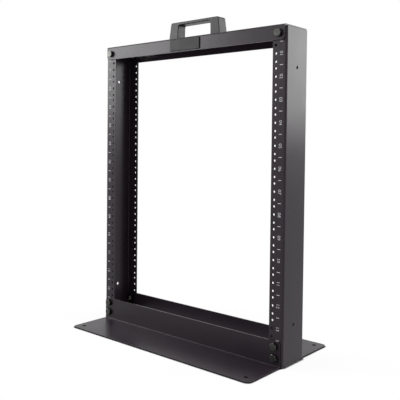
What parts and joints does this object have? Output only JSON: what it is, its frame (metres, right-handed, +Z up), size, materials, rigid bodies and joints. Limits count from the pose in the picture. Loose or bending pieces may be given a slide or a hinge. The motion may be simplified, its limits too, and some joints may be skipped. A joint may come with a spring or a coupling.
{
  "type": "two post open frame rack",
  "caption": "Free-standing two post open frame equipment rack of bent sheet steel, with punched uprights, angle feet, a top channel and a carry handle.",
  "frame": {"origin": "on the floor, midway between the uprights and midway between the front and rear feet", "axes": "+Z up, +X to the right seen from the front, -Y is the front of the rack"},
  "size_m": [0.5144, 0.2852, 0.705],
  "materials": {
    "black_powder_coat": "semi-gloss black powder coat",
    "handle_plastic": "fine-grained dark grey moulding"
  },
  "bodies": {
    "root": {"left_upright": "black_powder_coat", "right_upright": "black_powder_coat", "front_base_angle": "black_powder_coat", "rear_base_angle": "black_powder_coat", "top_channel": "black_powder_coat", "carry_handle": "handle_plastic"}
  },
  "joints": []
}
